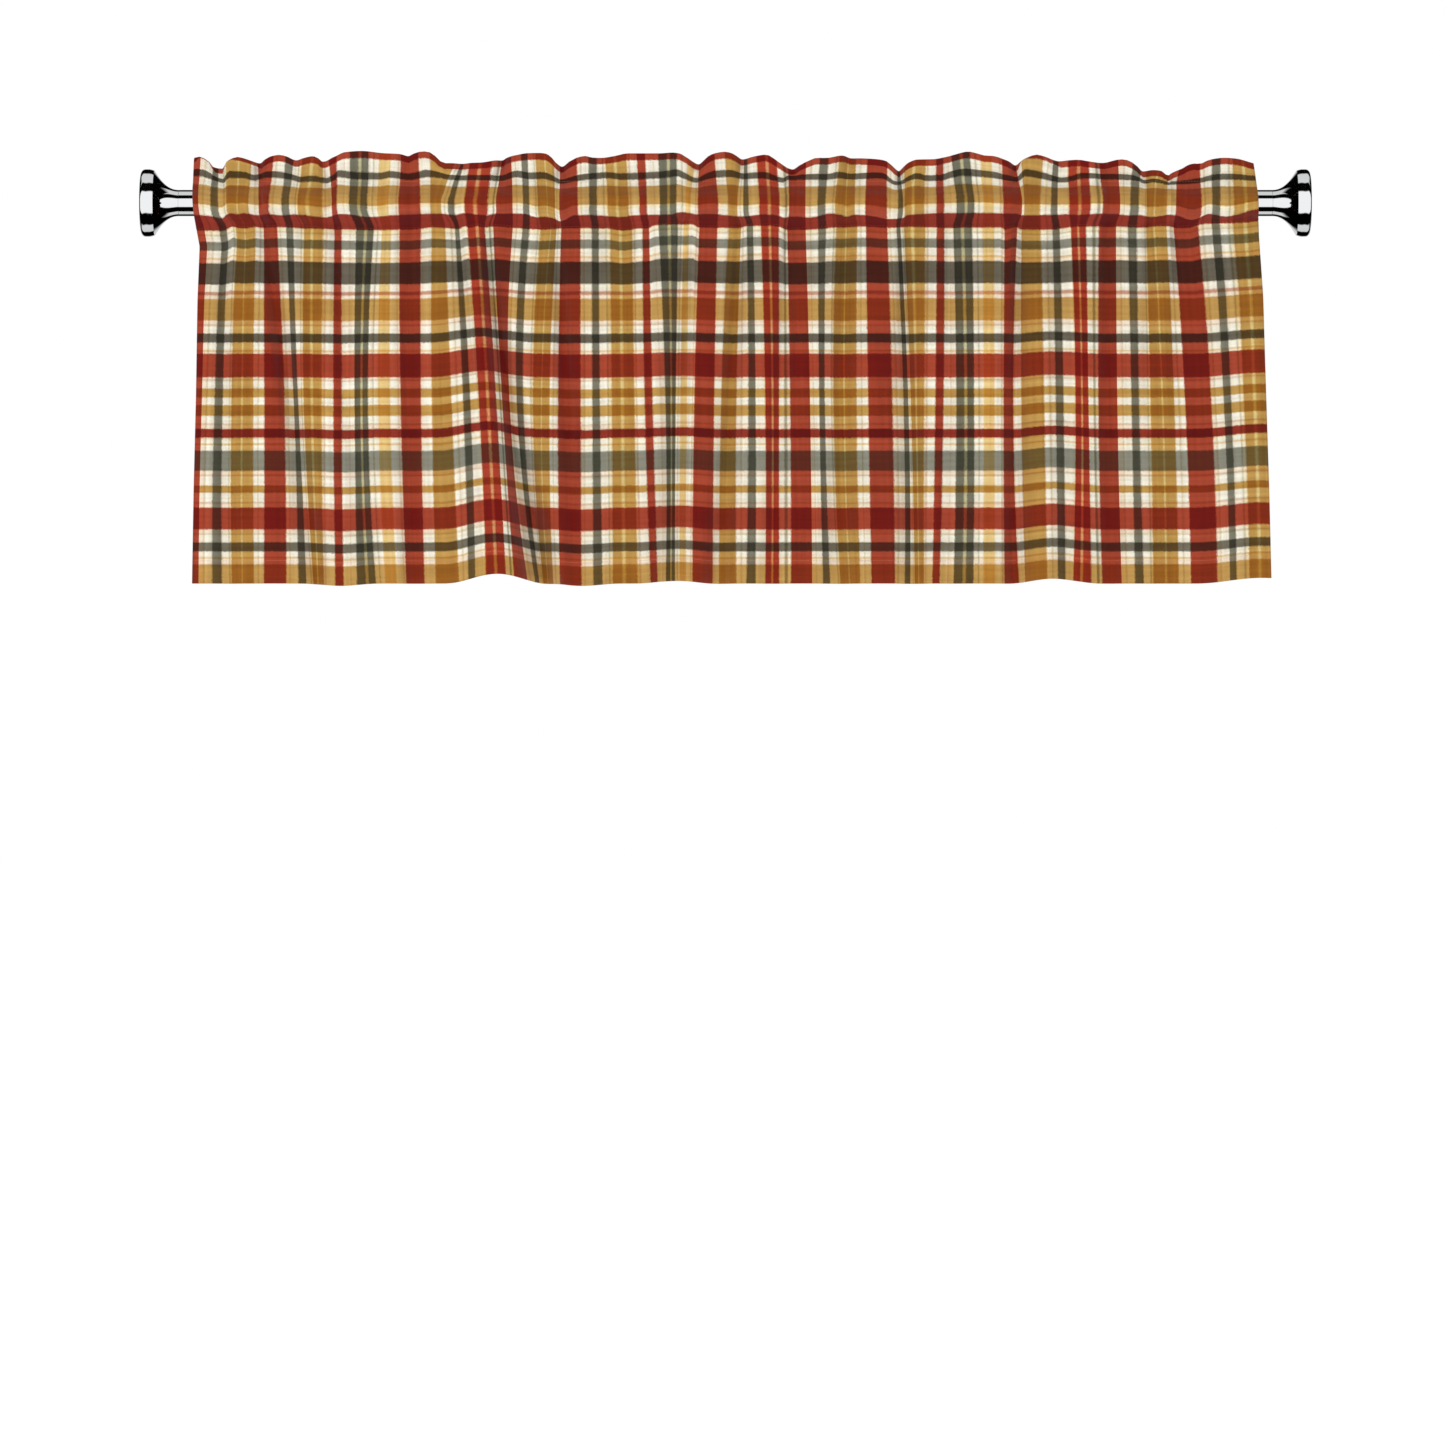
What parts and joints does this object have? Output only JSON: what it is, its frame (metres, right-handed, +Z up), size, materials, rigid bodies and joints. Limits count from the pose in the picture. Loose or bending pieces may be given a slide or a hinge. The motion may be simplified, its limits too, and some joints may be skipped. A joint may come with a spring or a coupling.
{
  "type": "window valance on a curtain rod with disc finials",
  "caption": "Rod-pocket plaid valance with a gathered header, hung on a plain round rod with flared disc finials.",
  "frame": {"origin": "on the rod's axis, at the middle of its length", "axes": "+X along the rod to the right as seen from the room, +Y away from the room, +Z up"},
  "size_m": [1.247, 0.072, 0.4631],
  "materials": {
    "plaid_cloth": "woven cotton-look plaid in rust, ochre, grey and cream",
    "rod_chrome": "polished",
    "finial_chrome": "polished"
  },
  "bodies": {
    "root": {"valance": "plaid_cloth", "rod": "rod_chrome", "finial_left": "finial_chrome", "finial_right": "finial_chrome"}
  },
  "joints": []
}
